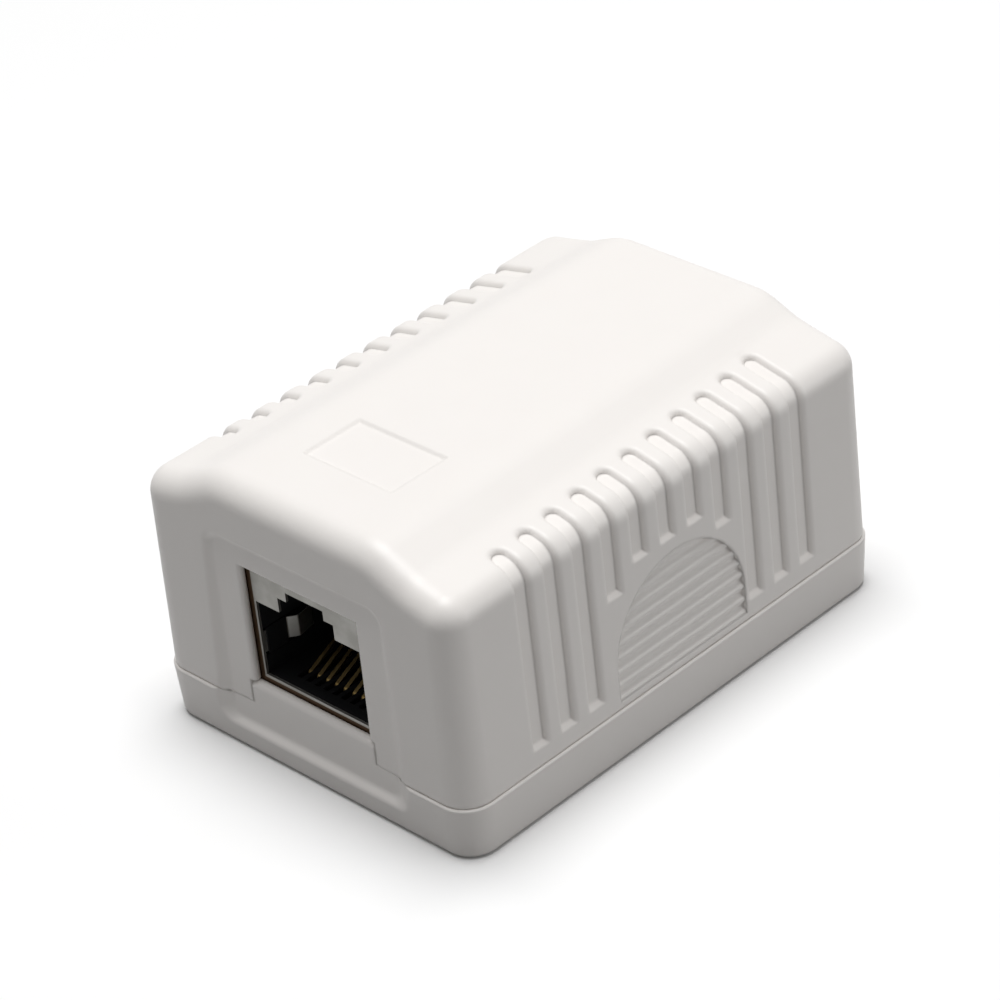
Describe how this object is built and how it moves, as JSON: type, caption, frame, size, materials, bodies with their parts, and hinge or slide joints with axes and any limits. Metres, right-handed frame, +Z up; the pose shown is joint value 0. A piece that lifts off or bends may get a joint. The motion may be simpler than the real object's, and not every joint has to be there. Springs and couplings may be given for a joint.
{
  "type": "surface mount jack box",
  "caption": "Surface mount box for structured cabling: grooved white cover over a base tray, with a shielded modular jack in a sunk front panel, side knock-outs and terminal blocks inside.",
  "frame": {"origin": "middle of the underside of the base tray", "axes": "+Z up, +Y from the jack towards the back wall, +X to the right of the jack as seen from behind it"},
  "size_m": [0.036, 0.0502, 0.0262],
  "materials": {
    "housing_plastic": "fine satin white moulding",
    "board_laminate": "green solder mask",
    "jack_plastic": "black moulding",
    "insert_plastic": "black moulding",
    "shield_metal": "tin-plated sheet",
    "terminal_plastic": "natural white moulding",
    "clamp_steel": "zinc plated",
    "screw_steel": "zinc plated",
    "contact_gold": "gold flashed",
    "blade_metal": "tin plated"
  },
  "bodies": {
    "base": {"base_tray": "housing_plastic", "circuit_board": "board_laminate", "jack_housing": "jack_plastic", "jack_contact_insert": "insert_plastic", "jack_shield": "shield_metal", "terminal_block_left": "terminal_plastic", "terminal_block_right": "terminal_plastic", "screen_clamp": "clamp_steel", "clamp_screws": "screw_steel", "board_screws": "screw_steel", "jack_contact_1": "contact_gold", "jack_contact_2": "contact_gold", "jack_contact_3": "contact_gold", "jack_contact_4": "contact_gold", "jack_contact_5": "contact_gold", "jack_contact_6": "contact_gold", "jack_contact_7": "contact_gold", "jack_contact_8": "contact_gold", "terminal_contact_1": "blade_metal", "terminal_contact_2": "blade_metal", "terminal_contact_3": "blade_metal", "terminal_contact_4": "blade_metal", "terminal_contact_5": "blade_metal", "terminal_contact_6": "blade_metal", "terminal_contact_7": "blade_metal", "terminal_contact_8": "blade_metal"},
    "cover": {"cover": "housing_plastic"}
  },
  "joints": [
    {"name": "cover_lift", "type": "slide", "parent": "base", "child": "cover", "axis": [0, 0, 1], "range_m": [0, 0.03]}
  ]
}
